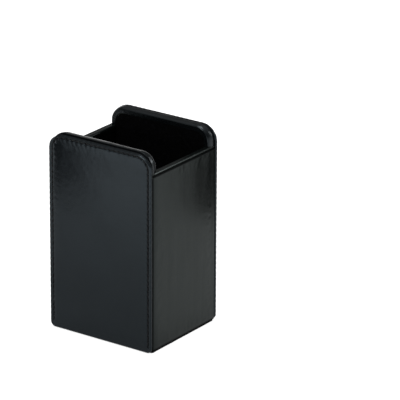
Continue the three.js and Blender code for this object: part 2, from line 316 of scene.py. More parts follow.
def cloth_field(width, height, pinned, seed, reach):
    """A grid of heights of a leather sheet sewn down round its edge. pinned(i, j, nx, ny) says
    which points are sewn; reach is about how far the sheet stands off."""
    cell = PITCH / 2
    nx, ny = round(width / cell), round(height / cell)
    gx, gy = np.meshgrid(np.linspace(0, width, nx + 1), np.linspace(0, height, ny + 1))
    dome = (1 - (2 * gx / width - 1) ** 4) * (1 - (2 * gy / height - 1) ** 4)
    relaxed = reach * (0.72 * dome + 0.16 * dome * noise(gx, gy, 17, seed)
                       + 0.07 * dome * noise(gx, gy, 7, seed + 1))
    lift = simulate(gx, gy, 0.05 * noise(gx, gy, 9, seed + 2) * dome, pinned)
    # guards against a simulation that blew up or never rose
    if not np.isfinite(lift).all() or lift.max() < 0.02:
        return relaxed
    lift = np.clip(lift, -0.2, None)
    lift = np.clip(lift * reach / np.percentile(lift, 97), -0.2, reach * 1.15)
    # away from the seams the leather lies on its card, so only broad waves stay there
    kernel = np.exp(-0.5 * (np.arange(-9, 10) / 3.2) ** 2)
    kernel /= kernel.sum()
    broad = np.pad(lift, 9, mode="edge")
    broad = np.apply_along_axis(np.convolve, 0, broad, kernel, "valid")
    broad = np.apply_along_axis(np.convolve, 1, broad, kernel, "valid")
    edge = np.minimum(np.minimum(gx, width - gx), np.minimum(gy, height - gy))
    calm = 0.88 * smooth(1.5, 11.0, edge)
    return lift * (1 - calm) + broad * calm


def sample(field, width, height, x, y):
    """A smooth (cubic) reading of a grid of heights, held at the border outside it."""
    ny, nx = field.shape
    a = np.clip(np.asarray(x, float) / width * (nx - 1), 0, nx - 1)
    b = np.clip(np.asarray(y, float) / height * (ny - 1), 0, ny - 1)
    i, j = np.minimum(a.astype(int), nx - 2), np.minimum(b.astype(int), ny - 2)

    def weights(f):
        return [((2 - f) * f - 1) * f / 2, (f * f * (3 * f - 5) + 2) / 2,
                ((4 - 3 * f) * f + 1) * f / 2, (f - 1) * f * f / 2]

    total = np.zeros_like(a)
    for m, weight_y in enumerate(weights(b - j)):
        row = np.clip(j + m - 1, 0, ny - 1)
        for k, weight_x in enumerate(weights(a - i)):
            total += weight_y * weight_x * field[row, np.clip(i + k - 1, 0, nx - 1)]
    return total


# ---------------------------------------------------------------- shader nodes

class Nodes:
    """Short names for the node kinds used. Any input may be a socket or a plain value."""

    def __init__(self, tree, coordinates="Object"):
        self.tree = tree
        self.where = self.node("TexCoord", {}, coordinates)

    def link(self, value, socket):
        if isinstance(value, bpy.types.NodeSocket):
            self.tree.links.new(value, socket)
        else:
            socket.default_value = value

    def feed(self, node, inputs):
        for key, value in inputs.items():
            self.link(value, node.inputs[key])

    def node(self, kind, inputs, out=0, **settings):
        node = self.tree.nodes.new("ShaderNode" + kind)
        for key, value in settings.items():
            setattr(node, key, value)
        self.feed(node, inputs)
        return node.outputs[out]

    def stretch(self, scale):
        return self.node("Mapping", {"Scale": scale, "Vector": self.where})

    def noise(self, scale, detail=3.0, rough=0.5, vector=None, distortion=0.0, out=0):
        return self.node("TexNoise", {
            "Scale": scale, "Detail": detail, "Roughness": rough, "Distortion": distortion,
            "Vector": vector or self.where}, out)

    def cells(self, scale, vector, feature="F1", **inputs):
        return self.node("TexVoronoi", {"Scale": scale, "Vector": vector, **inputs},
                         "Distance", feature=feature)

    def warp(self, amount, scale):
        """Coordinates pushed about by a noise, so that cells lose their regular look."""
        push = self.noise(scale, detail=2.0, out="Color")
        return self.node("VectorMath", {0: push, 1: (amount,) * 3, 2: self.where},
                         operation="MULTIPLY_ADD")

    def math(self, operation, a, b, clamp=False):
        return self.node("Math", {0: a, 1: b}, operation=operation, use_clamp=clamp)

    def plus(self, a, b):
        return self.math("ADD", a, b)

    def times(self, a, b):
        return self.math("MULTIPLY", a, b)

    def weighted(self, *parts):
        """The sum of (value, weight) parts."""
        total, *rest = [self.times(value, weight) for value, weight in parts]
        for part in rest:
            total = self.plus(total, part)
        return total

    def span(self, value, source, to=(0.0, 1.0)):
        """Map the range source onto the range to."""
        return self.node("MapRange", {
            "From Min": source[0], "From Max": source[1],
            "To Min": to[0], "To Max": to[1], "Value": value})

    def mix(self, share, a, b):
        """The colour a, replaced by b where share is 1."""
        a, b = (c if isinstance(c, bpy.types.NodeSocket) else (*c, 1.0) for c in (a, b))
        return self.node("Mix", {0: share, 6: a, 7: b}, 2, data_type="RGBA", blend_type="MIX")

    def shade(self, name):
        return self.node("Attribute", {}, "Fac", attribute_name=name)

    def bump(self, height, distance, strength, under=None):
        inputs = {"Distance": distance, "Strength": strength, "Height": height}
        if under is not None:
            inputs["Normal"] = under
        return self.node("Bump", inputs)

    def axes(self):
        """The X, Y and Z outputs of the coordinates."""
        return self.node("SeparateXYZ", {0: self.where}).node.outputs

    def camera_ray(self):
        return self.node("LightPath", {}, "Is Camera Ray")

    def levels(self, value, stops):
        """A grey ramp through (position, level) stops, the first at 0 and the last at 1."""
        grey = self.node("ValToRGB", {0: value})
        elements = grey.node.color_ramp.elements
        for at, _ in stops[1:-1]:
            elements.new(at)
        for element, (_, level) in zip(elements, stops):
            element.color = (level, level, level, 1.0)
        return grey


class Material(Nodes):
    """A new material with one principled shader."""

    def __init__(self, name):
        self.material = bpy.data.materials.new(name)
        self.material.use_nodes = True
        tree = self.material.node_tree
        tree.nodes.clear()
        super().__init__(tree)
        self.output = tree.nodes.new("ShaderNodeOutputMaterial").inputs[0]
        self.shader = tree.nodes.new("ShaderNodeBsdfPrincipled")
        tree.links.new(self.shader.outputs[0], self.output)

    def finish(self, colour, rough, specular, **more):
        """Feed the shader; in the extra names an underscore stands for a space."""
        self.feed(self.shader, {
            "Base Color": colour, "Roughness": rough, "Specular IOR Level": specular,
            **{key.replace("_", " "): value for key, value in more.items()}})
        return self.material


def scaled(colour, factor):
    return tuple(c * factor for c in colour)


# ---------------------------------------------------------------- materials

def leather(name, low, high, rubbed_and_highlight, rough, shine, tint, streak=(1.0, 1.0, 1.0), grain=1.0,
            pull=0.0):
    """Smooth dyed calf: fine pebble grain with hairline creases, cloudy dye, lighter worn edges
    with painted highlight where a piece asks for it, and painted shade, without shine, in seams and
    creases. streak stretches the dye clouds, pull adds upright drawn lines."""
    m = Material(name)
    pushed = m.warp(amount=0.0011, scale=420.0)
    pebble = m.cells(1500.0, pushed, "SMOOTH_F1", Smoothness=0.7)
    crease = m.span(m.cells(620.0, pushed, "DISTANCE_TO_EDGE"), (0.0, 0.10))
    pores = m.noise(scale=5200.0, detail=2.0, rough=0.6)
    cloud = m.noise(scale=34.0, detail=4.0, rough=0.55, vector=m.stretch(streak), distortion=0.6)
    blotch = m.noise(scale=150.0, detail=3.0, rough=0.6, vector=m.stretch(streak))
    # point shades: wear, with a painted highlight band on some pieces, and painted shade in seams
    # and creases
    wear, seam = m.shade("wear"), m.shade("seam")

    dye = m.span(m.weighted((cloud, 0.65), (blotch, 0.35)), (0.36, 0.66))
    colour = m.mix(dye, low, high)
    shaded = m.times(m.span(pebble, (0.2, 0.75)), 0.28)
    colour = m.mix(shaded, colour, scaled(low, 0.45))
    patches = m.noise(scale=260.0, detail=4.0, rough=0.65)
    # lighter worn patches, and painted highlight where a piece asks for it
    rub_and_highlight = m.times(wear, m.span(patches, (0.38, 0.66), to=(0.15, 1.0)))
    colour = m.mix(rub_and_highlight, colour, rubbed_and_highlight)
    # painted shade: darker in seams and creases
    colour = m.mix(m.times(seam, 0.75), colour, scaled(low, 0.25))

    roughness = m.plus(m.span(dye, (0.0, 1.0), to=(rough + 0.05, rough - 0.04)),
                       m.span(pebble, (0.2, 0.8), to=(-0.03, 0.06)))
    roughness = m.plus(roughness, m.times(seam, 0.25))
    roughness = m.math("SUBTRACT", roughness, m.times(rub_and_highlight, 0.06), clamp=True)

    relief = m.weighted((pebble, -0.55), (crease, 0.30), (pores, 0.18))
    normal = m.bump(relief, distance=0.000022 * grain, strength=0.55)
    waves = m.noise(scale=210.0, detail=2.0, rough=0.5, vector=m.stretch(streak))
    normal = m.bump(waves, distance=0.00030, strength=0.085, under=normal)
    if pull:
        drawn = m.noise(scale=150.0, detail=3.0, rough=0.55, vector=m.stretch((1.0, 1.0, 0.045)))
        normal = m.bump(drawn, distance=0.00030, strength=pull, under=normal)
    # painted shade also takes the shine out of seams and creases
    return m.finish(colour, roughness, m.span(seam, (0.0, 1.12), to=(shine, 0.0)),
                    Specular_Tint=(*tint, 1.0), Normal=normal)


def suede(name, low, high):
    """Short dense nap with brushed patches and scattered pale fibres."""
    m = Material(name)
    brushed = m.noise(scale=70.0, detail=4.0, rough=0.6, distortion=1.2)
    nap = m.noise(scale=2600.0, detail=3.0, rough=0.7)
    fibre = m.noise(scale=900.0, detail=2.0, rough=0.5, vector=m.stretch((1.0, 1.0, 0.35)))
    speck = m.cells(1150.0, m.warp(amount=0.0016, scale=300.0))
    speck = m.span(speck, (0.0, 0.22), to=(1.0, 0.0))
    tuft = m.span(m.noise(scale=760.0, detail=2.0, rough=0.6), (0.56, 0.70))
    tone = m.weighted((brushed, 0.55), (nap, 0.45))
    colour = m.mix(m.span(tone, (0.36, 0.66)), low, high)
    colour = m.mix(m.times(speck, 0.5), colour, scaled(high, 9.0))
    colour = m.mix(m.times(tuft, 0.6), colour, scaled(high, 7.0))
    normal = m.bump(m.weighted((nap, 0.7), (fibre, 0.5)), distance=0.00012, strength=0.7)
    normal = m.bump(brushed, distance=0.0006, strength=0.3, under=normal)
    return m.finish(colour, m.span(brushed, (0.3, 0.7), to=(0.98, 0.86)), specular=0.03,
                    Sheen_Weight=0.006, Sheen_Roughness=0.6, Normal=normal)


def thread(name, low, high):
    """Waxed twisted thread: fine ply lines, a little fuzz and uneven wax."""
    m = Material(name)
    ply = m.noise(scale=3800.0, detail=3.0, rough=0.6, vector=m.stretch((1.0, 1.0, 0.5)))
    wax = m.noise(scale=480.0, detail=3.0, rough=0.5)
    colour = m.mix(m.span(ply, (0.35, 0.68)), low, high)
    colour = m.mix(m.span(wax, (0.35, 0.7), to=(0.0, 0.5)), colour, scaled(low, 0.5))
    return m.finish(colour, m.span(wax, (0.3, 0.7), to=(0.36, 0.58)), specular=0.22,
                    Normal=m.bump(ply, distance=0.00007, strength=0.8))


def felt(name, low, high):
    """Pressed fibre pad: crossing fibres, lint and soft uneven relief."""
    m = Material(name)
    fibres = m.math("MAXIMUM", *(
        m.noise(scale=1500.0, detail=2.0, rough=0.6, vector=m.stretch(stretch), distortion=2.0)
        for stretch in ((1.0, 0.18, 1.0), (0.18, 1.0, 1.0))))
    matted = m.noise(scale=130.0, detail=4.0, rough=0.6)
    colour = m.mix(m.span(fibres, (0.5, 0.72)), low, high)
    colour = m.mix(m.span(matted, (0.4, 0.7), to=(0.0, 0.5)), colour, scaled(low, 0.6))
    normal = m.bump(fibres, distance=0.00022, strength=0.9)
    normal = m.bump(matted, distance=0.0008, strength=0.4, under=normal)
    return m.finish(colour, m.span(matted, (0.3, 0.7), to=(1.0, 0.9)), specular=0.03,
                    Normal=normal)


def board(name, low, high, fleck, fibre_scale):
    """Pulp board: layered fibres, darker flecks and a dry surface."""
    m = Material(name)
    fibres = m.noise(scale=fibre_scale, detail=4.0, rough=0.65,
                     vector=m.stretch((1.0, 1.0, 0.25)), distortion=1.5)
    pulp = m.noise(scale=60.0, detail=4.0, rough=0.6)
    flecks = m.cells(420.0, m.warp(amount=0.003, scale=120.0))
    flecks = m.span(flecks, (0.0, 0.16), to=(1.0, 0.0))
    colour = m.mix(m.span(m.weighted((fibres, 0.6), (pulp, 0.4)), (0.36, 0.64)), low, high)
    colour = m.mix(m.times(flecks, 0.7), colour, fleck)
    return m.finish(colour, m.span(pulp, (0.3, 0.7), to=(0.95, 0.82)), specular=0.25,
                    Normal=m.bump(fibres, distance=0.00015, strength=0.7))


FACE_LEATHER = leather(
    "black_calf_face", low=(0.0019, 0.0026, 0.0032), high=(0.0043, 0.0057, 0.0067),
    rubbed_and_highlight=(0.011, 0.013, 0.014), rough=0.18, shine=0.35, tint=(0.72, 0.885, 1.0))
SIDE_WALL_LEATHER = leather(
    "black_calf_side", low=(0.0016, 0.0023, 0.0022), high=(0.0034, 0.0046, 0.0044),
    rubbed_and_highlight=(0.011, 0.013, 0.013), rough=0.165, shine=0.215, tint=(0.78, 1.0, 0.965),
    streak=(1.0, 1.0, 0.16), pull=0.22)
EDGE_LEATHER = leather(
    "black_calf_edge", low=(0.0019, 0.0025, 0.0029), high=(0.0042, 0.0053, 0.0060),
    rubbed_and_highlight=(0.014, 0.016, 0.018), rough=0.18, shine=0.32, tint=(0.80, 0.93, 1.0), grain=0.8)
LINING = suede("black_suede", low=(0.00008, 0.00008, 0.00012), high=(0.0008, 0.0008, 0.0010))
THREAD = thread("black_waxed_thread", low=(0.0016, 0.0018, 0.0020),
                high=(0.0100, 0.0110, 0.0120))
FELT = felt("black_felt", low=(0.0008, 0.0008, 0.0009), high=(0.0040, 0.0041, 0.0044))
BOARD = board("grey_board", low=(0.20, 0.185, 0.16), high=(0.34, 0.32, 0.28),
              fleck=(0.07, 0.06, 0.05), fibre_scale=380.0)
CARD = board("brown_card", low=(0.24, 0.18, 0.12), high=(0.40, 0.32, 0.23),
             fleck=(0.10, 0.07, 0.04), fibre_scale=620.0)


# ---------------------------------------------------------------- stitched face panels

class Seam:
    """The stitch line up one side of a panel, over its top and down the other side."""

    def __init__(self, outline, seed):
        nf, side, nt, top, _ = outline.counts
        line = slice(nf, nf + 2 * side + 4 * nt + top + 1)
        self.foot = outline.box[2]
        self.walk = outline.ring(STITCH_INSET)[line]
        self.travel = travelled(self.walk)
        self.turn = np.unwrap(outline.turn[line])
        self.along = np.full(outline.n, np.nan)
        self.along[line] = self.travel
        self.count = round(self.travel[-1] / PITCH)
        self.pitch = self.travel[-1] / self.count
        # each hole is a little off its place and drawn in more or less tightly
        self.rng = np.random.default_rng(seed)
        self.shift = self.rng.normal(0, 0.07, self.count + 1)
        self.pull = np.clip(self.rng.normal(1.0, 0.34, self.count + 1), 0.3, 1.8)

    def near(self, column, height):
        """How the seam acts on points: distance along it, distance from the nearest hole,
        that hole's strength, and how far the seam has faded out toward the foot."""
        travel = np.where(column >= 0, self.along[np.maximum(column, 0)], np.nan)
        sewn = np.isfinite(travel)
        travel = np.where(sewn, travel, 0.0)
        k = np.clip(np.rint(travel / self.pitch).astype(int), 0, self.count)
        off = travel - k * self.pitch - self.shift[k]
        return SimpleNamespace(
            travel=travel, off=off, power=self.pull[k],
            fade=np.where(sewn, smooth(self.foot + 1.6, self.foot + 3.4, height), 0.0),
            hole=bell(off, 0.62) * self.pull[k], between=np.cos(2 * np.pi * off / self.pitch))


def panel_edge(back, mid, half, turned):
    """(inset, height) rings from the card's pocket round to the front rim."""
    # the pocket, the thin turned-in leather behind it, a short step, then the rolled rim
    edge = [(1.19, back + 1.18), (1.19, back + 0.02), (3.9, back - 0.01), (4.4, back - 0.05),
            (3.9, back - 0.09), (1.5, back - 0.09), (1.1, back - 0.05)]
    if turned:
        edge += [(0.7, back - 0.02)]
        edge += roll(0.40, back + 0.40, 0.40, range(172, 95, -13))
        edge += [(0.0, back + 0.55), (0.0, back + 0.85)]
    else:
        edge += [(1.02, back + 0.04), (0.97, back + 0.34)]
        edge += roll(0.92, mid, half, range(171, 90, -9))
    return edge + roll(1.25, mid, half, range(90, 5, -9))


def panel_lift(lo, hi, u, v, seed):
    """How far the simulated leather stands off inside the stitch line."""
    width, height = hi[0] - lo[0] - 2 * STITCH_INSET, hi[2] - lo[2] - 2 * STITCH_INSET

    def sewn_at(i, j, nx, ny):
        if j == 0:
            return True
        if i in (0, nx):
            return j % 2 == 0
        return j == ny and i % 2 == 0

    field = cloth_field(width, height, sewn_at, seed, reach=0.42)
    return sample(field, width, height, u - lo[0] - STITCH_INSET, v - lo[2] - STITCH_INSET)


def face_heights(lo, hi, front, back, u, v, depth, column, near, firmly, seed):
    """Heights of the front face."""
    fade, line = near.fade, depth - STITCH_INSET
    # the groove under the thread, drawn in less along the left edge, and the holes in it
    firm = 0.65 + 0.35 * smooth(-36.5, -33.0, u)
    face = front - 0.40 * firm * fade * bell(line, 0.66)
    face -= 0.46 * firmly * fade * near.hole * bell(line, 0.55)
    # short puckers running inward from each hole, stronger near the top
    pucker = 0.5 + 1.1 * smooth(hi[2] - 22, hi[2] - 6, v)
    pucker *= 0.35 + 1.1 * np.clip(0.5 + 0.5 * noise(near.travel, 0, 11, seed + 10), 0, 1)
    tail = np.exp(-np.maximum(line - 0.5, 0) / (0.7 + 0.5 * near.power))
    face -= (0.115 * pucker * fade * near.power * bell(near.off, 0.95)
             * smooth(STITCH_INSET, STITCH_INSET + 0.5, depth) * tail)
    # the strip outside the seam is drawn in at each hole
    face -= 0.05 * fade * near.between * bell(depth - 1.5, 0.8)
    # a faint groove where the stitching stops
    face -= 0.10 * (1 - fade) * bell(depth - 2.2, 0.55) * (column >= 0)
    # the padded middle, the simulated sheet and uneven waves
    face += (0.06 * smooth(3.2, 5.5, depth)
             + 0.24 * smooth(2.8, 9.5, depth) * smooth(lo[2] + 8, lo[2] + 60, v))
    face += 0.85 * panel_lift(lo, hi, u, v, seed) * smooth(STITCH_INSET, 5.2, depth)
    face += smooth(4.0, 11.0, depth) * (
        0.050 * noise(u, v, 22, seed + 3) + 0.022 * noise(u, v, 9, seed + 4)
        + 0.008 * noise(u, v, 4, seed + 5))
    face += 0.012 * noise(u, v, 2.6, seed + 6) * smooth(1.2, 2.5, depth)
    # gathered leather inside the rounded corners and along the top
    near_top = smooth(hi[2] - 16, hi[2] - 4, v)
    gather = 0.5 + 0.5 * noise(u * 1.5, v, 3.4, seed + 7)
    face -= 0.05 * near_top * bell(depth - 6.0, 3.0) * gather
    # a hole never reaches the card
    lowest, ease = back + 1.26, 0.12
    eased = lowest + ease * np.exp(np.clip((face - lowest - ease) / ease, -8, 0))
    return np.where(face < lowest + ease, eased, face)


def face_panel(name, node, stitch_name, stitch_node, seed, turned):
    lo, hi = box(node, turned)
    front, back = -lo[1], -hi[1]
    outline = Outline(lo[0], hi[0], lo[2], hi[2], TOP_R, FOOT_R, step=0.5)
    half = 1.2 if turned else 0.9     # half the height of the rolled rim
    mid = front - half
    insets = [1.25, 1.42] + [1.58 + 0.17 * k for k in range(14)] + [4.15, 4.7, 5.4]
    points, faces, depth, column, fixed = panel(
        outline, panel_edge(back, mid, half, turned), insets, core_inset=10.0, bands=8)
    seam = Seam(outline, seed)
    u, v, w = points.T
    near = seam.near(column, v)
    fade, line = near.fade, depth - STITCH_INSET
    firmly = 1 + 0.55 * smooth(hi[2] - 18, hi[2] - 5, v)
    face = face_heights(lo, hi, front, back, u, v, depth, column, near, firmly, seed)
    w = w.copy()
    w[fixed:] = face[fixed:]

    rim = np.arange(len(points)) < fixed
    # the rolled rim is drawn in a little at each hole
    squeeze = np.where(rim & (depth < 1.2), 0.035 * fade * near.between, 0.0)
    angle = outline.turn[np.maximum(column, 0)]
    # along the top the rim is drawn down a little over its card
    topness = smooth(0.25, 0.95, np.sin(angle)) * (column >= 0) * (depth < STITCH_INSET)
    down = (0.45 if turned else 1.55) * topness * np.clip(1 - depth / STITCH_INSET, 0, 1)
    behind = np.minimum(down, np.maximum(1.05 - depth, 0)) * topness
    down = np.where(rim & (w < back + 1.36), behind, down)
    down = np.where(rim & (w < back + 0.03), 0, down)
    u = np.where(rim, u - squeeze * np.cos(angle), u) - down * np.cos(angle)
    v = np.where(rim, v - squeeze * np.sin(angle), v) - down * np.sin(angle)
    wobble = 0.02 * noise(near.travel, 0, 6, seed + 8)
    dipped = w - 0.04 * fade * near.between * smooth(mid, front, w) + wobble
    w = np.where(rim & (w > mid), dipped, w)

    wear = np.where(rim, smooth(0.25, 0.95, (w - back) / (front - back)),
                    bell(depth - 1.35, 0.75))
    wear = wear * (0.45 + 0.25 * noise(near.travel, depth * 3, 9, seed + 9))
    inner_wear = 0.35 * bell(depth - 3.8, 0.7) * fade * (0.4 + 0.6 * (1 - bell(near.off, 0.9)))
    wear = np.maximum(wear, inner_wear)
    # painted shade in the stitch groove and its holes, weaker along the left edge
    dark = fade * (0.20 + 0.80 * smooth(-36.5, -33.0, points[:, 0])) * (
        0.85 * bell(line, 0.48) + 0.5 * firmly * near.hole * bell(line, 0.6))
    # the back of the rim lies in shadow between these heights
    shadow = (-0.30, -0.05) if turned else (0.60, 1.85)
    dark = np.where(rim, 0.95 * (1 - smooth(back + shadow[0], back + shadow[1], w)), dark)
    piece(name, stand(np.c_[u, v, w], turned), faces, FACE_LEATHER, "leather", node,
          wear=wear, seam=dark)
    stitches(stitch_name, stitch_node, seam, front, turned)


def stitches(name, node, seam, front, turned):
    """Each stitch is its own short length of twisted thread, dipping into its two holes."""
    turns, sides = 15, 10
    hole_gap = 0.33                    # from a hole's middle to the thread's end
    rng = seam.rng
    t = np.linspace(0, 1, turns)
    phi = np.arange(sides) / sides * 2 * np.pi
    points, faces = [], []
    for n in range(seam.count):
        start = n * seam.pitch + seam.shift[n]
        end = (n + 1) * seam.pitch + seam.shift[n + 1]
        at = t * (end - start - 2 * hole_gap) + start + hole_gap
        line_u = np.interp(at, seam.travel, seam.walk[:, 0])
        line_v = np.interp(at, seam.travel, seam.walk[:, 1])
        heading = np.interp(at, seam.travel, seam.turn)
        slant = (0.17 + rng.normal(0, 0.03)) * (1 - 2 * t)
        rise = np.sin(np.pi * t) ** 0.42
        height = front - 0.78 + (0.66 + rng.normal(0, 0.03)) * rise
        path = np.c_[line_u + np.cos(heading) * slant, line_v + np.sin(heading) * slant, height]
        tangent = np.gradient(path, axis=0)
        tangent /= np.linalg.norm(tangent, axis=1)[:, None]
        up = np.array([0.0, 0.0, 1.0]) - tangent * tangent[:, 2:3]
        up /= np.linalg.norm(up, axis=1)[:, None]
        side = np.cross(tangent, up)
        fat = THREAD_R * (0.72 + 0.34 * np.sin(np.pi * t) ** 0.6) * (1 + rng.normal(0, 0.03))
        twist = 2 * np.pi * t * 2.4 + rng.uniform(0, 6.28)
        # an oval section turning along the thread
        r = fat[:, None] * np.sqrt(1 - 0.42 * np.sin(phi[None, :] - twist[:, None]) ** 2)
        around = (np.cos(phi)[None, :, None] * up[:, None, :]
                  + np.sin(phi)[None, :, None] * side[:, None, :])
        points.append((path[:, None, :] + r[..., None] * around).reshape(-1, 3))
        index = np.arange(turns * sides).reshape(turns, sides) + n * turns * sides
        faces += [*ring_faces(index)[:, ::-1], index[0], index[-1][::-1]]
    piece(name, stand(np.concatenate(points), turned), faces, THREAD, "thread", node)


face_panel("front_panel_leather", "front_face_leather", "front_stitches", "front_stitching",
           seed=11, turned=False)
face_panel("back_panel_leather", "back_face_leather", "back_stitches", "back_stitching",
           seed=23, turned=True)


# ---------------------------------------------------------------- tall walls' edge leather

def wrap_path(half, top, foot, radius, side_top):
    """Up the left edge, over the top and down the right edge, with the outward direction."""
    rise = np.concatenate([np.linspace(foot, side_top - 0.03, 60),
                           np.linspace(side_top + 0.03, top - radius, 5)])
    arc, across = 26, 90
    centre = half - radius
    path = np.concatenate([
        np.c_[np.full(len(rise), -half), rise],
        arc_points(-centre, top - radius, radius, radius, 180, 90, arc)[1:],
        np.c_[np.linspace(-centre, centre, across)[1:], np.full(across - 1, top)],
        arc_points(centre, top - radius, radius, radius, 90, 0, arc)[1:],
        np.c_[np.full(len(rise) - 1, half), rise[::-1][1:]]])
    head = np.concatenate([
        np.full(len(rise), 180.0), np.linspace(180, 90, arc)[1:], np.full(across - 1, 90.0),
        np.linspace(90, 0, arc)[1:], np.zeros(len(rise) - 1)])
    return path, head


def wrap_sections(outer, inner):
    """Cross-sections as (inset, distance out): above the side wall's top, and below it, where
    the side wall takes the turn-in's place. Also how many points lie on the outer side."""
    round_in, round_out = 1.35, 4.2    # rounding towards the cavity: inset and height
    panel_in, panel_out = 1.6, 0.85    # rounding beside the panel: inset and height
    flap, t = 3.85, WRAP_LEATHER
    shoulder = arc_points(panel_in, outer - panel_out, panel_in, panel_out, 90, 180, 12)[:-1]
    head = [resample([(9.0, outer), (panel_in, outer)], 6)[:-1], shoulder]
    turn_in = [
        resample([(0, outer - panel_out), (0, inner + round_out)], 6)[:-1],
        arc_points(round_in, inner + round_out, round_in, round_out, 180, 270, 14)[:-1],
        resample([(round_in, inner), (flap, inner)], 8)[:-1],
        arc_points(flap, inner + 0.15, 0.15, 0.15, -90, 0, 4)[:-1]]
    back_of_flap = [
        resample([(4.0, inner + 0.15), (4.0, inner + t)], 3)[:-1],
        resample([(4.0, inner + t), (1.1, inner + t)], 5)[:-1],
        arc_points(0.9, inner + 0.9, 0.12, 0.12, 262, 180, 6)[:-1]]
    inside = [
        resample([(t, inner + 1.0), (t, outer - panel_out)], 3)[:-1],
        arc_points(panel_in, outer - panel_out, panel_in - 0.8, panel_out - t, 180, 95, 6)[:-1],
        resample([(panel_in, outer - t), (9.0, outer - t)], 5)]
    # (inset, height above inner) corners of the cut edge, with the points up to the next
    cut = [(0, 2.15, 14), (0, 0.95, 8), (0.05, 0.86, 4), (0.12, 0.82, 3), (0.2, 0.81, 5),
           (0.68, 0.82, 6), (0.77, 0.97, 0)]
    cut_edge = [resample([(0, outer - panel_out), (0, inner + 2.15)], 6)[:-1]]
    for (x0, y0, count), (x1, y1, _) in zip(cut, cut[1:]):
        cut_edge.append(resample([(x0, inner + y0), (x1, inner + y1)], count)[:-1])
    return (np.concatenate(head + turn_in + back_of_flap + inside),
            np.concatenate(head + cut_edge + inside), sum(map(len, head + turn_in)))


def edge_wrap(name, node, seed, turned):
    lo, hi = box(node, turned)
    # distances out from the middle: behind the panel, and the cavity face
    outer, inner = -lo[1], -hi[1]
    half, top, foot = hi[0], hi[2], lo[2]
    radius = TOP_R - (PANEL_HALF_WIDTH - half)
    side_top = box("right_leather_panel")[1][2] - SIDE_LEATHER
    path, head = wrap_path(half, top, foot, radius, side_top)
    travel = travelled(path)[:, None]
    above, below, outer_count = wrap_sections(outer, inner)
    upper = path[:, 1:] > side_top
    section = np.where(upper[..., None], above[None], below[None])
    inset, out = section[..., 0].copy(), section[..., 1].copy()
    n, m = inset.shape
    outerside = np.arange(m)[None, :] < outer_count
    # leather gathers where it turns in round the rounded corner
    bend = (smooth(top - radius - 4, top - radius + 1, path[:, 1])
            * smooth(half - radius - 3, half - radius + 2, np.abs(path[:, 0])))[:, None]
    pleat = bend * 0.10 * np.sin(travel * 2 * np.pi / 2.1 + 1.5 * noise(travel, 0, 5, seed))
    pleat = pleat * smooth(1.0, 3.6, inset) * (out < inner + 0.5)
    out = out - np.where(outerside & upper, pleat, 0)
    ripple = (0.05 * noise(travel, out * 2.0, 11, seed + 1)
              + 0.03 * noise(travel, out * 2.0, 4.5, seed + 2)
              + 0.010 * noise(travel, out * 3, 1.6, seed + 3))
    inset = inset + np.where(upper & (inset > 3.8) & (out < inner + 0.79), 0.20 * bend, 0)
    inset = inset + np.where(outerside & upper & (inset < 3.0),
                             ripple * smooth(outer - 0.2, outer - 1.8, out), 0)
    x = path[:, :1] - inset * np.cos(np.radians(head))[:, None]
    z = path[:, 1:] - inset * np.sin(np.radians(head))[:, None]
    points = np.stack([x, z, out], -1).reshape(-1, 3)
    index = np.arange(n * m).reshape(n, m)
    faces = [*ring_faces(index)[:, [0, 3, 2, 1]], index[0][::-1], index[-1]]
    wear = (bell(out - (outer + inner) / 2, 1.5) * (inset < 0.8)
            * (0.55 + 0.35 * noise(travel, out, 8, seed + 4)))
    # painted shade in the groove beside the panel and where the turned-in flap ends
    dark = smooth(outer - 1.0, outer - 0.3, out) + smooth(3.6, 4.0, inset) * (out < inner + 0.5)
    piece(name, stand(points, turned), faces, EDGE_LEATHER, "leather", node,
          wear=wear.ravel(), seam=np.where(outerside, dark, 0).ravel())


edge_wrap("front_edge_leather", "front_edge_wrap", seed=31, turned=False)
edge_wrap("back_edge_leather", "back_edge_wrap", seed=37, turned=True)


# ---------------------------------------------------------------- low side walls' leather

LIP_BACK = 0.42        # the lip stands back this far from the face below it
CREASE_DROP = 1.15     # from the wall's top down to the pressed crease under the lip
END_CURVE = 4.0        # length at each end where the columns crowd together


def side_sections(lo, hi, flap):
    """Cross-sections as (x, z): the full wrap over the lip, and the single sheet beside the
    tall walls. Also how many points lie on the outer side."""
    xo, xin = hi[0], lo[0]             # outer face, inner flap's face
    top, foot, t = hi[2], lo[2], SIDE_LEATHER
    crease_z = top - CREASE_DROP
    under = xo - t + 0.02              # underside of the outer sheet
    rows = np.concatenate([np.linspace(foot + 0.62, crease_z - 2.2, 178),
                           np.linspace(crease_z - 2.2, top - 0.85, 15)[1:-1]])
    lip_centre = xo - LIP_BACK - 0.85
    outer = np.concatenate([
        arc_points(xo - 0.62, foot + 0.62, 0.62, 0.62, -90, 0, 8)[:-1],
        np.c_[np.full(len(rows), xo), rows],
        arc_points(lip_centre, top - 0.85, 0.85, 0.85, 0, 90, 11)[:-1]])
    over = np.concatenate([
        resample([(lip_centre, top), (xin + 1.7, top)], 9)[:-1],
        arc_points(xin + 1.7, top - 1.7, 1.7, 1.7, 90, 180, 12)[:-1],
        resample([(xin, top - 1.7), (xin, flap + 0.15)], 8)[:-1],
        arc_points(xin + 0.15, flap + 0.15, 0.15, 0.15, 180, 270, 4)[:-1],
        resample([(xin + 0.15, flap), (xin + t - 0.04, flap)], 3)[:-1],
        resample([(xin + t - 0.02, flap + 0.03), (xin + t - 0.02, top - t)], 8)[:-1],
        resample([(xin + t, top - t + 0.02), (xo - t - 0.05, top - t + 0.02)], 8)[:-1]])
    slab = np.c_[np.full(len(over), under), np.linspace(top - 0.06, top - 5.5, len(over))]
    slab[0] = (xo - t + 0.08, top - 0.01)
    foot_end = resample([(under, foot + 0.3), (xo - t + 0.05, foot)], 3)

    def down(start):
        return resample([(under, start), (under, foot + 0.3)], 40)[:-1]

    return (np.concatenate([outer, over, down(top - t - 0.1), foot_end]),
            np.concatenate([outer, slab, down(top - 5.6), foot_end]), len(outer))


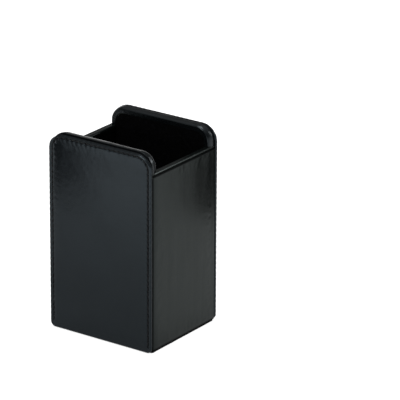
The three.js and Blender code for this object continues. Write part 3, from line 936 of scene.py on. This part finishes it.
def side_columns(reach, between):
    """The y of each cross-section, closer together at the ends and split at the tall walls."""
    curve = END_CURVE * (1 - np.cos(np.linspace(0, np.pi / 2, 12)))
    end = np.concatenate([-reach + curve[:-1],
                          np.linspace(-reach + END_CURVE, -between - 0.02, 5)])
    middle = np.linspace(-between + 0.02, between - 0.02, 92)
    columns = np.concatenate([end, middle, -end[::-1]])
    return np.clip(columns, -reach, reach) * (reach - 0.12) / reach


def side_leather(name, node, seed, turned):
    lo, hi = box(node, turned)
    xo, reach, top, foot = *hi, lo[2]
    _, lining_high = box("left_lining")
    # half the distance between the tall walls; the lip runs a little into their rounded edges
    between = lining_high[1] + 0.55
    crease_z = top - CREASE_DROP
    full, sheet, outer_count = side_sections(lo, hi, flap=lining_high[2])
    columns = side_columns(reach, between)
    inside = np.abs(columns)[:, None] < between
    section = np.where(inside[..., None], full[None], sheet[None])
    x, z = section[..., 0].copy(), section[..., 1].copy()
    n, m = x.shape
    y = np.broadcast_to(columns[:, None], x.shape).copy()
    world_y = -y if turned else y
    number = np.arange(m)[None, :]
    is_out = number < outer_count
    face = is_out & (z > foot + 0.6) & (z < crease_z)

    # the simulated sheet and fine upright waves
    def sewn_at(i, j, nx, ny):
        return i in (0, nx) or j in (0, ny)

    width, height = 2 * (reach - 3.4), crease_z - foot - 1.0
    field = cloth_field(width, height, sewn_at, seed, reach=0.30)
    lift = sample(field, width, height, y + width / 2, z - foot - 0.6)
    ends = smooth(foot + 0.6, foot + 3.5, z) * smooth(crease_z, crease_z - 3.0, z)
    x = x + np.where(face, lift * ends, 0)
    body = smooth(foot + 1, foot + 6, z) * smooth(crease_z, crease_z - 4, z)
    waves = (0.035 * noise(y, z * 0.12, 7, seed + 1) + 0.035 * noise(y, z * 0.35, 19, seed + 2)
             + 0.012 * noise(y, z * 0.5, 4, seed + 3))
    x = x + np.where(face, body * waves, 0)
    # the pressed crease under the lip, softer on its lower side
    dz = z - crease_z
    press = np.where(dz > 0, bell(dz, 0.24), bell(dz, 0.46))
    # the part of the crease that gets painted shade
    crease_painted_shade = smooth(0.50, 0.12, dz) * smooth(-1.75, -0.75, dz)
    x = x - np.where(is_out & (z <= top - 0.86), LIP_BACK * smooth(-0.15, 0.28, dz), 0)
    pressed = 0.64 * press * (0.9 + 0.10 * noise(y, 0, 8, seed + 4))
    x = x - np.where(is_out, pressed + 0.08 * smooth(0.3, -0.2, dz) * smooth(-9.0, -1.0, dz), 0)
    # a faint crease over the turned lower edge
    x = x - np.where(is_out, 0.09 * bell(z - foot - 1.3, 0.35), 0)
    # the leather dives into the seam beside each tall wall, deepest at the front
    ahead = world_y < 0
    t = np.clip((reach - np.abs(y)) / np.where(ahead, 5.0, 2.2), 0, 1)
    drop = np.where(ahead, 0.74, 0.10) * (1 - np.sqrt(np.clip(1 - (1 - t) ** 2, 0, 1)))
    floor_x = xo - SIDE_LEATHER + 0.04
    x = np.where(is_out, np.maximum(x - drop, floor_x + 0.02), x)
    # the lip is soft and a little uneven
    topside = (number >= outer_count) & (number < outer_count + 8)
    z = z + np.where(topside & inside, 0.05 * noise(y, x, 9, seed + 5) - 0.05, 0)

    points = np.stack([x, y, z], -1).reshape(-1, 3)
    index = np.arange(n * m).reshape(n, m)
    faces = [*ring_faces(index), index[0], index[-1][::-1]]
    # worn lip, top and ends, and a painted highlight band just above the foot
    wear = np.where(is_out, bell(z - (top - 0.3), 0.6) * 0.75 + 0.5 * bell(z - foot - 2.2, 0.5), 0)
    wear = wear * (0.6 + 0.4 * noise(y, z, 7, seed + 6)) + np.where(topside, 0.25, 0)
    wear = wear + np.where(is_out, 0.25 * bell(np.abs(y) - (reach - 2.4), 1.0), 0)
    # painted shade: at the front end beside the panel's groove, in the crease under the lip and
    # along the lowest edge above the felt
    front_end_painted_shade = 0.95 * (1 - smooth(0.3, 1.8, reach + world_y))
    dark = np.where(is_out, np.maximum(1.12 * crease_painted_shade, front_end_painted_shade), 0)
    dark = np.maximum(dark, np.where(is_out, 1 - smooth(foot + 0.5, foot + 1.5, z), 0))
    piece(name, half_turn(points) if turned else points, faces, SIDE_WALL_LEATHER, "leather",
          node, wear=wear.ravel(), seam=dark.ravel())


side_leather("right_side_leather", "right_leather_panel", seed=41, turned=False)
side_leather("left_side_leather", "left_leather_panel", seed=53, turned=True)


# ---------------------------------------------------------------- linings and felt

def lining(name, node, seed, axes, r_top):
    """A thin padded sheet. axes are its right, its up and the side that shows."""
    nap, wave, corner = 0.03, 0.05, 0.22
    axes = np.array(axes)
    lo, hi = np.sort([axes @ corner_point for corner_point in box(node)], axis=0)
    outline = Outline(lo[0], hi[0], lo[1], hi[1], r_top, 0.3, step=1.1)
    back, front = lo[2], hi[2]
    edge = [(0.5, back), (0.12, back), (0.0, back + 0.12)]
    edge += roll(corner, front - corner, corner, (90, 68, 45, 23))
    points, faces, depth, _, fixed = panel(outline, edge, [corner, 0.5, 0.9, 1.5],
                                           core_inset=5.0, bands=4)
    u, v = points[:, 0], points[:, 1]
    swell = wave * smooth(0.3, 6, depth)
    height = front + swell * noise(u, v, 26, seed) - swell
    height = height + nap * smooth(0.2, 1.0, depth) * (noise(u, v, 2.4, seed + 1) - 0.6)
    points[fixed:, 2] = height[fixed:]
    piece(name, points @ axes, faces, LINING, "lining", node)


for side, seed, axes, r_top in (
        ("front", 61, (-X, Z, Y), 7.0), ("back", 63, (X, Z, -Y), 7.0),
        ("right", 67, (-Y, Z, -X), 0.3), ("left", 69, (Y, Z, X), 0.3),
        ("floor", 71, (X, Y, Z), 0.3)):
    lining(f"{side}_suede_lining", f"{side}_lining", seed, axes, r_top)


def felt_pad():
    """The pad under the base, built face up and laid face down."""
    lo, hi = box("base_felt")
    overhang, corner = 0.2, 0.42
    outline = Outline(-hi[0] - overhang, -lo[0] + overhang, lo[1], hi[1], 1.4, 1.4, step=0.8)
    back, front = -hi[2], -lo[2]
    edge = [(1.2, back), (0.03, back), (0.0, back + 0.04), (0.0, back + 0.3),
            (0.0, back + 0.55)]
    edge += roll(corner, front - corner, corner, range(90, 5, -12))
    points, faces, depth, column, fixed = panel(outline, edge, [0.5, 0.9, 1.4, 2.2],
                                                core_inset=6.0, bands=4)
    u, v, w = points.T.copy()
    # cut fibres stand out unevenly along the edge
    rim = np.arange(len(points)) < fixed
    fibres = 0.07 * noise(u + 3 * w, v - 3 * w, 1.1, 81) - 0.05
    fray = np.where(rim & (depth < 0.45), fibres, 0) * smooth(back + 0.2, back + 0.7, w)
    angle = outline.turn[np.maximum(column, 0)]
    u += fray * np.cos(angle)
    v += fray * np.sin(angle)
    face = front - 0.05 + 0.035 * noise(u, v, 3.0, 83) + 0.015 * noise(u, v, 30, 85)
    w = np.minimum(np.where(rim, w, face), front)
    piece("felt_pad", np.c_[u, v, w] @ np.array([-X, Y, -Z]), faces, FELT, "felt", "base_felt")


felt_pad()

# the boards and cards inside keep their CAD shapes
for node in ("front_core_board", "back_core_board", "left_core_board", "right_core_board",
             "base_board", "front_face_stiffener", "back_face_stiffener"):
    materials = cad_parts[node].data.materials
    wanted = CARD if node.endswith("stiffener") else BOARD
    if not materials:
        materials.append(wanted)
    for n in range(len(materials)):
        materials[n] = wanted


# ---------------------------------------------------------------- floor, light and camera

def flat_object(name, corners):
    mesh = bpy.data.meshes.new(name)
    mesh.from_pydata(corners, [], [(0, 1, 2, 3)])
    obj = bpy.data.objects.new(name, mesh)
    bpy.context.scene.collection.objects.link(obj)
    return obj


# what reflections and bounced light see of the floor, from y = -0.60 to y = 0.12: a glow with a
# painted soft shadow, darkest just in front of the cup and dimmer behind it
FLOOR_GLOW_WITH_PAINTED_SHADOW = ((0.0, 1.00), (0.444, 0.70), (0.583, 0.31), (0.711, 0.12), (0.778, 0.18),
              (0.844, 0.40), (1.0, 0.45))
# brightness of the sky against the upward part of the direction
SKY = ((0.0, 0.95), (0.10, 0.72), (0.20, 0.40), (0.32, 0.12), (0.55, 0.11), (0.8, 0.40),
       (1.0, 0.65))


def pale_floor():
    m = Material("pale_floor")
    colour = m.mix(m.noise(scale=3.0, detail=2.0), (0.60, 0.60, 0.60), (0.62, 0.62, 0.62))
    seen = m.camera_ray()
    glow_with_painted_shadow = m.levels(m.span(m.axes()["Y"], (-0.60, 0.12)), FLOOR_GLOW_WITH_PAINTED_SHADOW)
    # the camera sees an even glow, other rays the glow with its painted shadow
    strength = m.plus(m.times(seen, 0.80), m.times(m.math("SUBTRACT", 1.0, seen), glow_with_painted_shadow))
    return m.finish(colour, rough=0.9, specular=0.0, Emission_Color=(1.0, 1.0, 1.0, 1.0),
                    Emission_Strength=strength)


floor = flat_object("floor", [(-6, -6, 0), (6, -6, 0), (6, 6, 0), (-6, 6, 0)])
floor.data.materials.append(pale_floor())

# the camera sees white, everything else the graded sky
world = bpy.data.worlds.new("studio")
bpy.context.scene.world = world
world.use_nodes = True
sky_nodes = Nodes(world.node_tree, coordinates="Generated")
sky = sky_nodes.levels(sky_nodes.axes()["Z"], SKY)
sky_nodes.feed(world.node_tree.nodes["Background"], {
    0: sky_nodes.mix(sky_nodes.camera_ray(), sky, (1.0, 1.0, 1.0)), 1: 1.0})


def softbox(name, location, target, size, power):
    data = bpy.data.lights.new(name, "AREA")
    data.shape = "RECTANGLE"
    data.size = data.size_y = size
    data.energy = power
    lamp = bpy.data.objects.new(name, data)
    lamp.location = location
    lamp.rotation_mode = "QUATERNION"
    aim = Vector(target) - Vector(location)
    lamp.rotation_quaternion = aim.to_track_quat("-Z", "Y")
    lamp.visible_camera = False
    bpy.context.scene.collection.objects.link(lamp)


softbox("overhead", location=(-0.10, 0.10, 1.45), target=(0, 0, 0.05), size=0.70, power=6.0)
softbox("key_front", location=(-0.16, -1.06, 1.29), target=(0, 0, 0.07), size=0.80, power=9.5)
softbox("back_right", location=(0.78, 1.15, 0.70), target=(0, 0, 0.10), size=0.60, power=6.5)

FLAG_FACING = math.atan2(-0.567, 0.824)


def flag(name, centre, far, near, soft, height):
    """A dark studio card with a feathered edge, seen only in reflections; it runs from far to
    near along its own X, and fades out over its last soft metres and toward the floor."""
    card = flat_object(name, [(far, 0, 0), (near, 0, 0), (near, 0, height), (far, 0, height)])
    card.location = (*centre, 0.0)
    card.rotation_euler = (0, 0, FLAG_FACING)
    m = Material(name + "_cloth")
    m.feed(m.shader, {
        "Base Color": m.mix(m.noise(scale=40.0), (0.010, 0.009, 0.009), (0.022, 0.018, 0.017)),
        "Roughness": 0.9})
    axes = m.axes()
    weave = m.times(m.span(m.noise(scale=60.0), (0.3, 0.7), to=(-0.5, 0.5)), 0.12)
    side = m.plus(m.span(axes["X"], (near - soft, near), to=(1.0, 0.0)), weave)
    foot = m.span(axes["Z"], (0.0, 0.014), to=(0.30, 1.0))
    cover = m.math("MULTIPLY", side, foot, clamp=True)
    clear = m.node("BsdfTransparent", {})
    m.link(m.node("MixShader", {0: cover, 1: clear, 2: m.shader.outputs[0]}), m.output)
    card.data.materials.append(m.material)
    for kind in ("camera", "diffuse", "shadow", "transmission"):
        setattr(card, "visible_" + kind, False)


flag("flag_back_right", centre=(0.1118, 0.1946), far=-0.045, near=0.067, soft=0.036, height=0.26)
flag("flag_front_left", centre=(-0.1750, -0.2145), far=-0.055, near=0.036, soft=0.025,
     height=0.20)

scene = bpy.context.scene
scene.view_settings.view_transform = "Standard"
scene.view_settings.look = "None"

CAMERA_PLACE = (1.14140, -1.54165, 0.80792)
CAMERA_AIM = (-0.540313, 0.763503, -0.353730)
CAMERA_ROLL = math.radians(0.331)

camera_data = bpy.data.cameras.new("camera")
camera_data.sensor_width = 36.0
camera_data.lens = 298.2
camera_data.clip_start = 0.1
camera_data.clip_end = 50.0
camera = bpy.data.objects.new("camera", camera_data)
scene.collection.objects.link(camera)
camera.location = CAMERA_PLACE
camera.rotation_mode = "QUATERNION"
camera.rotation_quaternion = (Vector(CAMERA_AIM).to_track_quat("-Z", "Y")
                              @ Quaternion((0, 0, 1), CAMERA_ROLL))
scene.camera = camera
